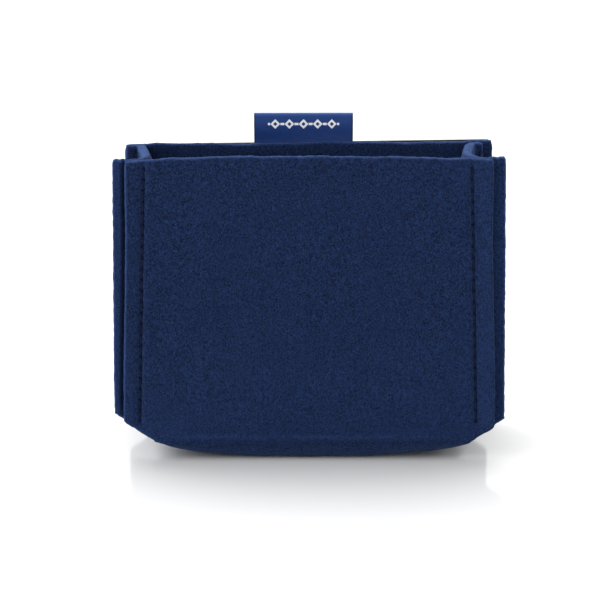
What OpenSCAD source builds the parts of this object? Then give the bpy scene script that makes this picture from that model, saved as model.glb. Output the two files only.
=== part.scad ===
// Felt storage bin with a magnetic back, all sizes in millimetres.
// Frame: +Z up, the open front panel faces -Y, the magnetic face looks along +Y.
// The origin is at the centre of the bin's box, on the surface that it stands on.

/* [Bin] */
// Width across the back panel and the front fins
body_w = 130; // [110:1:160]
// Height of the felt, from the floor to the rim
body_h = 101; // [85:1:130]
// Depth from the front panel to the magnetic face
body_d = 60; // [50:1:80]

/* [Felt] */
// Thickness of the felt
felt_t = 3; // [2:0.5:4]
// Distance that the front fins stand out past the front panel's raw edges
front_step = 4; // [1:0.5:6]
// Distance that the back panel's raw edges stand out past the back fins
back_step = 3; // [1:0.5:6]
// Outer radius of the fold between a wall and the base
fold_r = 7; // [6:0.5:9]
// Rise of the slanted cut at a fin's lower end, per millimetre of width
corner_slope = 0.65; // [0.5:0.05:0.8]
// Distance that the base's side edge lies inside the side wall
base_inset = 6.2; // [5:0.1:8]

/* [Side gussets] */
// Width of a front fin, from the side wall to the raw edge
front_fin = 12; // [9:0.1:14]
// Width of a back fin, from the side wall to the raw edge
back_fin = 3.2; // [3:0.1:8]
// Radius of the corner where a side wall turns into a fin
corner_r = 4; // [3.5:0.5:5]
// Outer radius of the fold between a side wall and its base tab
tab_fold_r = 8; // [6:0.5:10]
// Length of the flat part of a base tab
tab_l = 12; // [8:1:16]
// Clearance between a base tab and the folds at its ends
tab_gap = 0.3; // [0.2:0.1:1]

/* [Stitching] */
// Length of one stitch
stitch_l = 3.7; // [3:0.1:4.5]
// Diameter of the sewing thread
thread_d = 0.6; // [0.4:0.1:0.8]
// Clearance at each side of a thread, in its groove and in its needle holes
thread_gap = 0.05; // [0.02:0.01:0.1]
// Distance from the side wall to a vertical seam
seam_off = 1.6; // [1.2:0.1:2.5]
// Distance from a seam's ends to the rim and to the slanted cut
seam_end = 1.5; // [1:0.5:4]

/* [Magnetic back] */
// Thickness of the flexible magnetic sheet
magnet_t = 2; // [1:0.5:3]
// Thickness of the adhesive film that holds the sheet
film_t = 0.3; // [0.2:0.1:0.5]
// Inset of the sheet from the back panel's side edges
magnet_inset = 1; // [0.5:0.5:4]
// Height of the sheet's lower edge above the floor
magnet_z = 10; // [10:0.5:20]
// Inset of the adhesive film from the sheet's edges
film_inset = 2; // [1:0.5:6]
// Rounding of the sheet's corners
magnet_r = 2; // [1:0.5:3]

/* [Label] */
// Width of the ribbon label
label_w = 35; // [20:1:50]
// Distance that the loop stands above the rim
label_h = 10.5; // [6:0.5:16]
// Sideways offset of the label from the middle
label_x = -1.8; // [-20:0.1:20]
// Thickness of one ply of the ribbon
ply_t = 0.4; // [0.3:0.1:0.5]
// Open gap inside the loop
loop_gap = 0.4; // [0.3:0.1:0.8]
// Length of the ribbon ends that are sewn in below the rim
label_end_l = 12; // [8:0.5:14]
// Clearance between the loop's bending line and what lies under it
bend_gap = 0.3; // [0.2:0.1:0.6]

/* [Hidden] */

FELT = [0.09, 0.16, 0.36];
THREAD = [0.05, 0.09, 0.24];
RIBBON = [0.10, 0.22, 0.50];
MAGNET = [0.13, 0.12, 0.12];
FILM = [0.75, 0.75, 0.72];
ARC_STEPS = 8;
$fn = 32;

// Planes from front to back: the front panel, its fin, the back fin and the back panel.
front_y = -body_d / 2;
front_in_y = front_y + felt_t;
front_fin_y = front_in_y + felt_t;
back_y = body_d / 2 - magnet_t - film_t;
back_in_y = back_y - felt_t;
back_fin_y = back_in_y - felt_t;

front_w = body_w - 2 * front_step;
back_w = body_w - 2 * back_step;

// The side walls: their outer faces, which stand further apart at the back.
wall_front_x = body_w / 2 - front_fin;
wall_back_x = back_w / 2 - back_fin;
wall_slant = atan2(wall_back_x - wall_front_x, back_fin_y - front_fin_y);
wall_run = norm([wall_back_x - wall_front_x, back_fin_y - front_fin_y]);
wall_inset = felt_t / cos(wall_slant);
// Height at which a side wall starts to turn into its base tab.
tab_turn_z = felt_t + tab_fold_r;

// The label: its middle plane, its pressed ends and the line about which it bends.
loop_t = 2 * ply_t + loop_gap;
ends_t = 2 * ply_t;
label_y = back_y - ends_t / 2;
bend_z = body_h + loop_t / 2 + bend_gap;
ends_top_z = bend_z - loop_t / 2 - bend_gap;
label_seam_z = ends_top_z - label_end_l / 2;
label_margin = 1.5;

// The thread is drawn thinner where it dips through a needle hole. A groove is as deep as
// the thread is thick, so that a seam ends flush with the felt.
dip_d = 0.8 * thread_d;
hole_d = dip_d + 2 * thread_gap;
groove_w = thread_d + 2 * thread_gap;

// Seams: the number of stitches and the place of the first needle hole.
function seam_start(wall_x) = cut_z(wall_x + seam_off, wall_x) + seam_end;
function seam_stitches(wall_x) = floor((body_h - seam_end - seam_start(wall_x)) / stitch_l);

label_seam_n = floor((label_w - 2 * label_margin) / stitch_l);
label_seam_x = label_x - label_seam_n * stitch_l / 2;

// Height where the slanted cut meets a wall's raw edge.
function cut_z(half_w, wall_x) = fold_r + (half_w - wall_x) * corner_slope;

// Points of the arc that rounds the corner b between a and c.
function corner_arc(a, b, c, r) =
    let (
        u = (a - b) / norm(a - b),
        v = (c - b) / norm(c - b),
        half = acos(u * v) / 2,
        mid = (u + v) / norm(u + v),
        centre = b + mid * r / sin(half),
        from = b + u * r / tan(half) - centre,
        to = b + v * r / tan(half) - centre,
        a0 = atan2(from[1], from[0]),
        turn = atan2(to[1], to[0]) - a0,
        sweep = turn > 180 ? turn - 360 : turn < -180 ? turn + 360 : turn
    )
    [for (i = [0:ARC_STEPS]) centre + r * [cos(a0 + sweep * i / ARC_STEPS),
                                           sin(a0 + sweep * i / ARC_STEPS)]];

// An outline whose corners are rounded by the radii in rs, where 0 keeps a corner sharp.
function rounded(points, rs) =
    let (n = len(points))
    [for (i = [0:n - 1])
        for (p = rs[i] > 0
                ? corner_arc(points[(i + n - 1) % n], points[i], points[(i + 1) % n], rs[i])
                : [points[i]]) p];

// Front view of a wall of the wrap, down to the base, with its lower corners cut away.
function wall_outline(half_w, wall_x) =
    let (
        half = [
            [half_w, body_h], [half_w, cut_z(half_w, wall_x)],
            [wall_x, fold_r], [wall_x - base_inset, felt_t], [wall_x - base_inset, 0],
        ],
        n = len(half)
    )
    concat(half, [for (i = [n - 1:-1:0]) [-half[i][0], half[i][1]]]);

// Stands a front view (x, z) up and gives it the depth from y0 to y1.
module upright(y0, y1)
    translate([0, y1, 0]) rotate([90, 0, 0]) linear_extrude(y1 - y0) children();

// Extrudes a side view (y, z) across x, symmetrically.
module across(width)
    rotate([90, 0, 90]) linear_extrude(width, center = true) children();

// Side view of one wall of the wrap with its fold. The wall's outer face is at 0
// and the bin lies on the side of +y.
module fold_profile() {
    difference() {
        translate([fold_r, fold_r]) circle(fold_r, $fn = 64);
        translate([fold_r, fold_r]) circle(fold_r - felt_t, $fn = 64);
        translate([fold_r, -1]) square([fold_r + 1, 2 * fold_r + 2]);
        translate([-1, fold_r]) square([2 * fold_r + 2, fold_r + 1]);
    }
    translate([0, fold_r]) square([felt_t, body_h - fold_r]);
}

module front_wall()
    intersection() {
        translate([0, front_y, 0]) across(body_w) fold_profile();
        upright(front_y - 1, front_y + fold_r) polygon(wall_outline(front_w / 2, wall_front_x));
    }

module back_wall()
    intersection() {
        translate([0, back_y, 0]) mirror([0, 1, 0]) across(body_w) fold_profile();
        upright(back_y - fold_r, back_y + 1) polygon(wall_outline(body_w / 2, wall_back_x));
    }

module base_plate() {
    front_x = wall_front_x - base_inset;
    back_x = wall_back_x - base_inset;
    linear_extrude(felt_t)
        polygon([
            [-front_x, front_y + fold_r], [front_x, front_y + fold_r],
            [back_x, back_y - fold_r], [-back_x, back_y - fold_r],
        ]);
}

module felt_wrap()
    color(FELT) difference() {
        union() {
            front_wall();
            base_plate();
            back_wall();
        }
        both_sides() {
            front_seam() seam_cut(felt_t);
            back_seam() seam_cut(felt_t);
            base_seam() seam_cut(felt_t);
        }
        label_pocket();
        label_seam() seam_cut(felt_t);
    }

// Room for the ribbon's ends, pressed into the back panel's rear face.
module label_pocket()
    translate([label_x - label_w / 2, back_y - ends_t, ends_top_z - label_end_l])
        cube([label_w, ends_t + 1, body_h]);

// Repeats a piece of the right side on the left one.
module both_sides() {
    children();
    mirror([1, 0, 0]) children();
}

// Moves to a frame on the right side wall: x out of its outer face, y along it to the back.
module on_wall()
    translate([wall_front_x, front_fin_y, 0]) rotate([0, 0, -wall_slant]) children();

// A point of the plan view, seen in the right side wall's own frame.
function to_wall(p) =
    let (d = p - [wall_front_x, front_fin_y])
    [d[0] * cos(wall_slant) - d[1] * sin(wall_slant),
     d[0] * sin(wall_slant) + d[1] * cos(wall_slant)];

// Plan view of the right side wall with its two fins, in the wall's own frame.
function gusset_plan() =
    [for (p = rounded([
        [wall_front_x - wall_inset, front_in_y], [body_w / 2, front_in_y],
        [body_w / 2, front_fin_y], [wall_front_x, front_fin_y],
        [wall_back_x, back_fin_y], [back_w / 2, back_fin_y],
        [back_w / 2, back_in_y], [wall_back_x - wall_inset, back_in_y],
    ], [corner_r, 0, 0, 0, 0, 0, 0, corner_r])) to_wall(p)];

// The fins run down to the slanted cut; the wall between them ends where its fold starts.
module gusset_sheet() {
    beyond = body_w / 2 + felt_t;
    intersection() {
        on_wall() difference() {
            translate([0, 0, fold_r]) linear_extrude(body_h - fold_r) polygon(gusset_plan());
            translate([-2 * felt_t, 0, 0]) cube([2 * felt_t, wall_run, tab_turn_z]);
        }
        union() {
            upright(front_y, 0) polygon(wall_outline(beyond, wall_front_x));
            upright(0, back_y) polygon(wall_outline(beyond, wall_back_x));
        }
    }
}

// Side view of the fold and the tab, seen along the wall, with the outer face at 0.
module tab_profile() {
    difference() {
        translate([-tab_fold_r, tab_turn_z]) circle(tab_fold_r, $fn = 64);
        translate([-tab_fold_r, tab_turn_z]) circle(tab_fold_r - felt_t, $fn = 64);
        translate([-3 * tab_fold_r, 0]) square([2 * tab_fold_r, 3 * tab_fold_r]);
        translate([-3 * tab_fold_r, tab_turn_z]) square([4 * tab_fold_r, 2 * tab_fold_r]);
    }
    translate([-tab_fold_r - tab_l, felt_t]) square([tab_l, felt_t]);
}

// The tab keeps clear of the wrap's folds, whose inside starts where they are vertical.
// Its outer corner comes nearest to the front fold, its inner corner to the back fold.
tab_start = (front_y + fold_r + tab_gap - front_fin_y) / cos(wall_slant);
tab_end_y = back_y - fold_r - tab_gap - (tab_fold_r + tab_l) * sin(wall_slant);
tab_end = (tab_end_y - front_fin_y) / cos(wall_slant);
base_seam_n = floor((tab_end - tab_start - 2 * seam_end) / stitch_l);
base_seam_u = -tab_fold_r - tab_l / 2;
base_seam_v = (tab_start + tab_end - base_seam_n * stitch_l) / 2;

module gusset_tab()
    on_wall() translate([0, tab_end, 0]) rotate([90, 0, 0])
        linear_extrude(tab_end - tab_start) tab_profile();

module gusset()
    color(FELT) difference() {
        union() {
            gusset_sheet();
            gusset_tab();
        }
        front_seam() far_side(2 * felt_t) seam_cut(felt_t);
        back_seam() far_side(2 * felt_t) seam_cut(felt_t);
        base_seam() far_side(2 * felt_t) seam_cut(felt_t);
    }

// A seam's own frame: the stitches run along +z from the first needle hole at the origin,
// the face that the needle thread lies in is at y = 0, and +y leads through the layers.
// $stitches is the number of stitches.
module front_seam() {
    $stitches = seam_stitches(wall_front_x);
    translate([wall_front_x + seam_off, front_y, seam_start(wall_front_x)]) children();
}

module back_seam() {
    $stitches = seam_stitches(wall_back_x);
    translate([wall_back_x + seam_off, back_y, seam_start(wall_back_x)])
        mirror([0, 1, 0]) children();
}

module base_seam() {
    $stitches = base_seam_n;
    on_wall() translate([base_seam_u, base_seam_v, 0])
        rotate([-90, 0, 0]) mirror([0, 1, 0]) children();
}

module label_seam() {
    $stitches = label_seam_n;
    translate([label_seam_x, back_in_y, label_seam_z]) rotate([0, 90, 0]) children();
}

// Turns a seam's frame round to the far face of layers that are total thick together.
module far_side(total)
    translate([0, total, 0]) mirror([0, 1, 0]) children();

// The groove and the needle holes that one thread needs, through a layer of this thickness.
module seam_cut(layer) {
    margin = thread_d / 2 + thread_gap;
    translate([-groove_w / 2, -1, -margin])
        cube([groove_w, 1 + thread_d, $stitches * stitch_l + 2 * margin]);
    for (i = [0:$stitches])
        translate([0, -1, i * stitch_l]) rotate([-90, 0, 0]) cylinder(d = hole_d, h = layer + 2);
}

// One thread of a lockstitch seam. It runs along the seam in its groove and dips through
// the layer at every needle hole.
module seam_thread(layer)
    color(THREAD) {
        translate([0, thread_d / 2, -thread_d / 2])
            cylinder(d = thread_d, h = $stitches * stitch_l + thread_d);
        for (i = [0:$stitches])
            translate([0, thread_d / 2, i * stitch_l])
                rotate([-90, 0, 0]) cylinder(d = dip_d, h = layer - thread_d / 2);
    }

module front_needle() front_seam() seam_thread(felt_t);
module front_bobbin() front_seam() far_side(2 * felt_t) seam_thread(felt_t);
module back_needle() back_seam() seam_thread(felt_t);
module back_bobbin() back_seam() far_side(2 * felt_t) seam_thread(felt_t);
module base_needle() base_seam() seam_thread(felt_t);
module base_bobbin() base_seam() far_side(2 * felt_t) seam_thread(felt_t);
module label_needle() label_seam() seam_thread(felt_t - ends_t);
module label_bobbin() label_seam() far_side(felt_t) seam_thread(ends_t);

// The loop is a flat tube with round ends. Its lower end turns about the bending line.
module label_loop() {
    straight = body_h + label_h - loop_t / 2 - bend_z;
    color(RIBBON) translate([label_x, label_y, bend_z]) across(label_w) difference() {
        loop_outline(loop_t, straight);
        loop_outline(loop_gap, straight);
    }
}

module loop_outline(width, straight) {
    circle(d = width);
    translate([-width / 2, 0]) square([width, straight]);
    translate([0, straight]) circle(d = width);
}

module label_ends()
    color(RIBBON) difference() {
        translate([label_x - label_w / 2, back_y - ends_t, ends_top_z - label_end_l])
            cube([label_w, ends_t, label_end_l]);
        label_seam() far_side(felt_t) seam_cut(ends_t);
    }

// Front view of the sheet: the back panel's outline, inset, without the fold.
function sheet_outline(inset) =
    let (
        half_w = body_w / 2 - magnet_inset - inset,
        low_z = magnet_z + inset,
        cut_x = wall_back_x + (low_z - fold_r) / corner_slope - magnet_inset - inset,
        side_z = low_z + max(half_w - cut_x, 0) * corner_slope,
        low_x = min(cut_x, half_w - magnet_r)
    )
    [
        [half_w, body_h - inset], [half_w, side_z + magnet_r], [low_x, low_z],
        [-low_x, low_z], [-half_w, side_z + magnet_r], [-half_w, body_h - inset],
    ];

module magnetic_sheet()
    color(MAGNET) upright(body_d / 2 - magnet_t, body_d / 2)
        polygon(rounded(sheet_outline(0), [for (i = [0:5]) magnet_r]));

module adhesive_film()
    color(FILM) upright(back_y, back_y + film_t) polygon(sheet_outline(film_inset));

felt_wrap();
mirror([1, 0, 0]) gusset();  // left_gusset
gusset();  // right_gusset
mirror([1, 0, 0]) front_needle();  // front_left_needle_thread
mirror([1, 0, 0]) front_bobbin();  // front_left_bobbin_thread
front_needle();  // front_right_needle_thread
front_bobbin();  // front_right_bobbin_thread
mirror([1, 0, 0]) back_needle();  // back_left_needle_thread
mirror([1, 0, 0]) back_bobbin();  // back_left_bobbin_thread
back_needle();  // back_right_needle_thread
back_bobbin();  // back_right_bobbin_thread
mirror([1, 0, 0]) base_needle();  // base_left_needle_thread
mirror([1, 0, 0]) base_bobbin();  // base_left_bobbin_thread
base_needle();  // base_right_needle_thread
base_bobbin();  // base_right_bobbin_thread
label_needle();  // label_needle_thread
label_bobbin();  // label_bobbin_thread
label_loop();
label_ends();
adhesive_film();
magnetic_sheet();
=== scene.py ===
"""Looks of a felt storage bin: needled felt sheets, lockstitched seams, a woven ribbon label
and a flexible magnetic back. Lengths are in millimetres until a mesh is made."""

import math

import bpy
import numpy as np
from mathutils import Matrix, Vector, noise


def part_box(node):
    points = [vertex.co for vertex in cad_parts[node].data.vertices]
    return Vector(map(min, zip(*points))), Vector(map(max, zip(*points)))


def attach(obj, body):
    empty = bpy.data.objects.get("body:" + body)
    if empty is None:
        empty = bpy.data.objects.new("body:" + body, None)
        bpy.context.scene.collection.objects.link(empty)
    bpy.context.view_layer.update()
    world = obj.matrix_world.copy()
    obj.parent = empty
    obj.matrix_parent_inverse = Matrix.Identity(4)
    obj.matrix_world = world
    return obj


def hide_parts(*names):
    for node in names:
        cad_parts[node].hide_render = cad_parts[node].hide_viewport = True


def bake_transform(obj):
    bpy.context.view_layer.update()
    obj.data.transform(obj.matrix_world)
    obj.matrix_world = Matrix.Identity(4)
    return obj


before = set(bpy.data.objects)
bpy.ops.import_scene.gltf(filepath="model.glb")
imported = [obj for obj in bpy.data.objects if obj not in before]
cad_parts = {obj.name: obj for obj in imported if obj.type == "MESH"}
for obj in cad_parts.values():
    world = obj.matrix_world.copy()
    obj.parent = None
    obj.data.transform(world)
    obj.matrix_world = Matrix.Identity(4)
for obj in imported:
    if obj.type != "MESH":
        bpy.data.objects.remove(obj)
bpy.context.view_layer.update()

MM = 0.001


def box_mm(node):
    """Lowest and highest corner of a CAD node, in millimetres."""
    lo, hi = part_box(node)
    return np.array(lo) / MM, np.array(hi) / MM


def points_mm(node):
    """The vertices of a CAD node, in millimetres."""
    return np.array([v.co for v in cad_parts[node].data.vertices]) / MM


# ------------------------------------ sizes from the frame

wrap_lo, wrap_hi = box_mm("felt_wrap")
gusset_lo, gusset_hi = box_mm("right_gusset")
loop_lo, loop_hi = box_mm("label_loop")
ends_lo, ends_hi = box_mm("label_ends")
front_needle_lo, front_needle_hi = box_mm("front_right_needle_thread")
back_needle_lo, back_needle_hi = box_mm("back_right_needle_thread")
label_needle_lo, label_needle_hi = box_mm("label_needle_thread")
base_needle_lo, base_needle_hi = box_mm("base_right_needle_thread")
magnet_lo, magnet_hi = box_mm("magnetic_sheet")
wrap_points = points_mm("felt_wrap")
gusset_points = points_mm("right_gusset")

HALF_W = wrap_hi[0]
RIM_Z = wrap_hi[2]
FRONT_Y = wrap_lo[1]
BACK_Y = wrap_hi[1]
FELT = gusset_lo[1] - FRONT_Y
HALF_FELT = FELT / 2
FRONT_FIN_Y = FRONT_Y + 2 * FELT
BACK_FIN_Y = BACK_Y - 2 * FELT
FRONT_HALF = wrap_points[wrap_points[:, 1] < FRONT_Y + 0.1, 0].max()
BACK_FIN_HALF = gusset_points[gusset_points[:, 1] > gusset_hi[1] - 0.1, 0].max()

THREAD_D = front_needle_hi[0] - front_needle_lo[0]
FRONT_SEAM = (front_needle_lo[0] + front_needle_hi[0]) / 2
BACK_SEAM = (back_needle_lo[0] + back_needle_hi[0]) / 2
STITCH = 3.7            # from one needle hole to the next
SEAM_OFF = 1.6          # from a side wall's outer face to the seams beside it
WALL_FRONT = FRONT_SEAM - SEAM_OFF
WALL_BACK = BACK_SEAM - SEAM_OFF
WALL_SLANT = math.atan2(WALL_BACK - WALL_FRONT, BACK_FIN_Y - FRONT_FIN_Y)

MAGNET_INSET = HALF_W - magnet_hi[0]
MAGNET_EDGE_R = 0.35    # rounding of the magnetic sheet's edges

LABEL_X = (loop_lo[0] + loop_hi[0]) / 2
LABEL_HALF = (loop_hi[0] - loop_lo[0]) / 2
LABEL_Y = (loop_lo[1] + loop_hi[1]) / 2
SIDES = ("left", "right")

# ------------------------------------ shape of the soft parts
# A pair is for the left and the right side. A REACH pair is for a curve's start and end.

FOLD_R = 7.0            # outer radius of the folds between the walls and the base
TAB_FOLD_R = 8.0        # outer radius of the folds between the side walls and their tabs
TAB_L = 12.0            # flat length of a tab
TAB_TURN_Z = 12.0       # height at which a side wall starts to turn into its tab
TAB_GAP = 0.1           # between a tab and the base below it
CORNER_SLOPE = 0.65     # rise of the slanted cuts
CUT_DROP = (-0.9, 1.1)  # how much lower the front corners are cut
NO_DROP = (0.0, 0.0)    # the back corners are cut as designed
EDGE_R = 0.8            # rounding of a cut felt edge
BASE_INSET = 4.9        # from a side wall's outer face to the base's raw edge

BULGE = (4.2, 3.2)      # rise of the base towards its raw edges
BULGE_POWER = (3.8, 2.8)  # how late that rise starts
BULGE_HALF = 49.0       # how far from the middle it is reached
EDGE_LIFT = (2.4, 0.5)  # what is added close to the base's raw edges

BELLY = 0.7             # how far the front panel bellies out
FLARE = (0.45, 0.6)     # how far its raw edges stand off from the fins
PANEL_AT_RIM = (-0.6, -0.8)  # how far they reach outwards at the rim
PANEL_AT_FOOT = (0.9, 1.0)   # and at the foot
SEAM_AT_RIM = (-0.6, -1.6)   # how far the front seams lie outwards at the rim
SEAM_AT_FOOT = (2.4, 1.6)    # and at the foot

# Cells along each stretch of a side wall, from its front edge to its back edge.
GUSSET_CELLS = {"front_fin": 26, "front_corner": 12, "web": 40, "back_corner": 8, "back_fin": 5}
FIN_GAPE = 0.45         # how far a front fin's raw edge stands back
FIN_AT_RIM = -0.5       # how far it reaches outwards at the rim
FIN_SPREAD = (0.9, 1.3)    # and how much farther at the foot
BACK_FIN_OUT = (2.4, -0.6)  # how far the back fins reach outwards
FIN_TOP = (100.8, 101.6)   # height of the side walls at their front edges
BACK_TOP = (100.5, 101.3)  # and at their back edges
FIN_PAINTED_LIGHT = (0.5, 0.3)   # how much painted light lifts the front fins out of the panel's shade
RIM_LEAN = (1.5, -0.3)  # how far the side walls lean outwards at the rim
WEB_BOW = 1.8           # how far they bow inwards below it
CORNER_REACH = 3.1      # from the front corners to both ends of their curves
RIM_REACH = (4.5, 13.0)  # how much is added to that at the rim
BACK_REACH = (3.2, 2.2)  # from the back corners to the ends of their curves

GROOVE = 0.55           # how deep a seam presses the felt in
DIMPLE = 0.95           # how much deeper at a needle hole
PUFF = 0.2              # how far the felt stands out beside a seam
FIN_RELIEF = 0.7        # share of all this that shows on the fins

PLY = 0.36              # thickness of the ribbon
LABEL_TURN_R = 0.95     # radius of the ribbon's middle in its fold
MOTIF_DROP = 4.3        # from the front top of the label down to its woven motif
MOTIF_PITCH = 5.0       # from one diamond of the motif to the next
MOTIF_HALF = 12.6       # half the length of the motif


# ------------------------------------ mesh tools


def lumps(points, size, seed=0.0):
    """Smooth noise from -1 to 1 at each point, with lumps of about this size."""
    flat = points.reshape(-1, 3) / size + seed
    values = [noise.noise(Vector(p)) for p in flat.tolist()]
    return np.array(values).reshape(points.shape[:-1])


def smooth_step(x, lo, hi):
    """0 below lo, 1 above hi, smooth between them."""
    t = np.clip((x - lo) / (hi - lo), 0, 1)
    return t * t * (3 - 2 * t)


def smooth_min(a, b, k):
    """The smaller of a and b, with the change from one to the other rounded by k."""
    return -k * np.logaddexp(-a / k, -b / k)


def make_object(name, verts, faces, material, worn=None, uv=None):
    """A smooth mesh object from points in millimetres. worn is where felt is drawn lighter, as
    rubbed fuzz and as painted light.
    """
    mesh = bpy.data.meshes.new(name)
    mesh.from_pydata((np.asarray(verts) * MM).tolist(), [], [list(f) for f in faces])
    mesh.polygons.foreach_set("use_smooth", [True] * len(mesh.polygons))
    if worn is not None:
        mesh.attributes.new("worn", "FLOAT", "POINT").data.foreach_set("value", worn)
    if uv is not None:
        layer = mesh.uv_layers.new(name="cloth")
        loops = np.zeros(len(mesh.loops), int)
        mesh.loops.foreach_get("vertex_index", loops)
        layer.data.foreach_set("uv", np.asarray(uv)[loops].ravel())
    mesh.materials.append(material)
    mesh.update()
    obj = bpy.data.objects.new(name, mesh)
    bpy.context.scene.collection.objects.link(obj)
    return obj


def corners_of(inside):
    """Which grid points touch a cell of cloth."""
    used = np.zeros((inside.shape[0] + 1, inside.shape[1] + 1), bool)
    for rows in (slice(None, -1), slice(1, None)):
        for cols in (slice(None, -1), slice(1, None)):
            used[rows, cols] |= inside
    return used


def sheet_normals(mid, inside):
    """Unit normals of a sheet's middle surface, pointing to its outer face."""
    a, b, c, d = mid[:-1, :-1], mid[:-1, 1:], mid[1:, 1:], mid[1:, :-1]
    n = np.cross(d - b, c - a)
    n[~inside] = 0
    total = np.zeros_like(mid)
    for rows in (slice(None, -1), slice(1, None)):
        for cols in (slice(None, -1), slice(1, None)):
            total[rows, cols] += n
    return total / np.maximum(np.linalg.norm(total, axis=2, keepdims=True), 1e-9)


def border_edges(inside):
    """Directed border edges of the cloth, as pairs of (row, column), cloth on the left."""
    padded = np.pad(inside, 1)
    edges = []
    for i, j in np.argwhere(inside):
        a, b, c, d = (i, j), (i, j + 1), (i + 1, j + 1), (i + 1, j)
        if not padded[i + 1, j]:
            edges.append((a, d))
        if not padded[i + 2, j + 1]:
            edges.append((d, c))
        if not padded[i + 1, j + 2]:
            edges.append((c, b))
        if not padded[i, j + 1]:
            edges.append((b, a))
    return edges


def rim_profile(radius, thickness):
    """(share of the thickness, distance outwards) of a rounded edge, from face to face."""
    arc = [(radius * (1 - math.cos(a)), radius * math.sin(a)) for a in np.radians((30, 60, 90))]
    half = [(depth / thickness, out) for depth, out in arc]
    return half + [(0.5, radius * 1.04)] + [(1 - s, out) for s, out in reversed(half)]


def ways_out(mid, normals, edges):
    """The way out of the cloth at each border point, along its middle surface."""
    outward = {}
    for p, q in edges:
        out = np.cross(mid[q] - mid[p], normals[p] + normals[q])
        out /= max(np.linalg.norm(out), 1e-9)
        outward[p] = outward.get(p, 0) + out
        outward[q] = outward.get(q, 0) + out
    return outward


def rim_faces(edges, index, rim_index, count, steps):
    """Quads of the rounded rim, from the outer face round to the inner one."""

    def across_rim(p):
        return [index[p]] + [rim_index[p] + k for k in range(steps)] + [index[p] + count]

    faces = []
    for p, q in edges:
        left, right = across_rim(p), across_rim(q)
        for k in range(steps + 1):
            faces.append([right[k], left[k], left[k + 1], right[k + 1]])
    return faces


def thick_sheet(name, mid, inside, thickness, relief, material, radius=EDGE_R, fuzz=0.17,
                rough=0.07, seed=0.0, uv=None, lightening=None, edge_lightening=None):
    """A closed mesh of a sheet of cloth with rounded, slightly ragged edges.

    mid is a grid of points on its middle surface and inside says which cells are cloth.
    relief is how deep the outer and the inner face are pressed in at each point. The last two
    arguments say how much lighter the cloth is drawn at each point and at each point of its
    rim, as rubbed fuzz and as painted light."""
    normals = sheet_normals(mid, inside)
    used = corners_of(inside)
    skins = []
    for side, sign in enumerate((1, -1)):
        lift = thickness / 2 - relief[side] + rough * lumps(mid, 1.7, seed + 7.3 * side)
        skins.append((mid + sign * lift[..., None] * normals)[used])
    count = int(used.sum())
    index = np.full(used.shape, -1)
    index[used] = np.arange(count)
    i, j = np.nonzero(inside)
    quads = np.stack([index[i, j], index[i + 1, j], index[i + 1, j + 1], index[i, j + 1]], 1)
    edges = border_edges(inside)
    outward = ways_out(mid, normals, edges)
    profile = rim_profile(radius, thickness)
    rim_index, rim = {}, []
    for p, total in outward.items():
        total = total * min(2 / max(total @ total, 1e-9), 0.75)
        first, last = skins[0][index[p]], skins[1][index[p]]
        rim_index[p] = 2 * count + len(rim)
        rim += [first + (last - first) * share + total * out for share, out in profile]
    rim = np.array(rim)
    ragged = lumps(rim, 0.9, seed + 3.1) + lumps(rim, 2.6, seed + 9.7)
    spread = np.repeat(np.array(list(outward.values())), len(profile), axis=0)
    rim = rim + spread / 2 * (fuzz * ragged)[:, None]
    faces = quads.tolist() + (quads[:, ::-1] + count).tolist()
    faces += rim_faces(edges, index, rim_index, count, len(profile))
    verts = np.concatenate([*skins, rim])
    worn = np.zeros(len(verts))
    if lightening is not None:
        worn[:2 * count] = np.tile(lightening[used], 2)
        worn[2 * count:] = edge_lightening(rim)
    if uv is not None:
        rim_uv = np.repeat([uv[p] for p in outward], len(profile), axis=0)
        uv = np.concatenate([uv[used], uv[used], rim_uv])
    return make_object(name, verts, faces, material, worn, uv)


def stitch_phase(along, first):
    """Distance from the nearest needle hole, along the seam."""
    return np.abs((along - first + STITCH / 2) % STITCH - STITCH / 2)


def seam_relief(across, along, first, last, beyond=0.0):
    """How deep a seam presses the felt in: a groove, a dimple at each needle hole, and a
    slight puff beside it. The groove can go on beyond the last needle hole."""
    width, fade = 0.8, 1.2
    hole = stitch_phase(along, first)
    groove = GROOVE * np.exp(-((across / width) ** 2))
    dimple = DIMPLE * np.exp(-(across ** 2 + hole ** 2) / width ** 2)
    puff = PUFF * np.exp(-(((np.abs(across) - 2.7) / 1.5) ** 2))
    ahead = smooth_step(along, first - fade, first)
    reach = ahead * (1 - smooth_step(along, last, last + fade))
    farther = ahead * (1 - smooth_step(along, last + beyond, last + beyond + fade))
    return reach * dimple + farther * (groove - puff)


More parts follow.
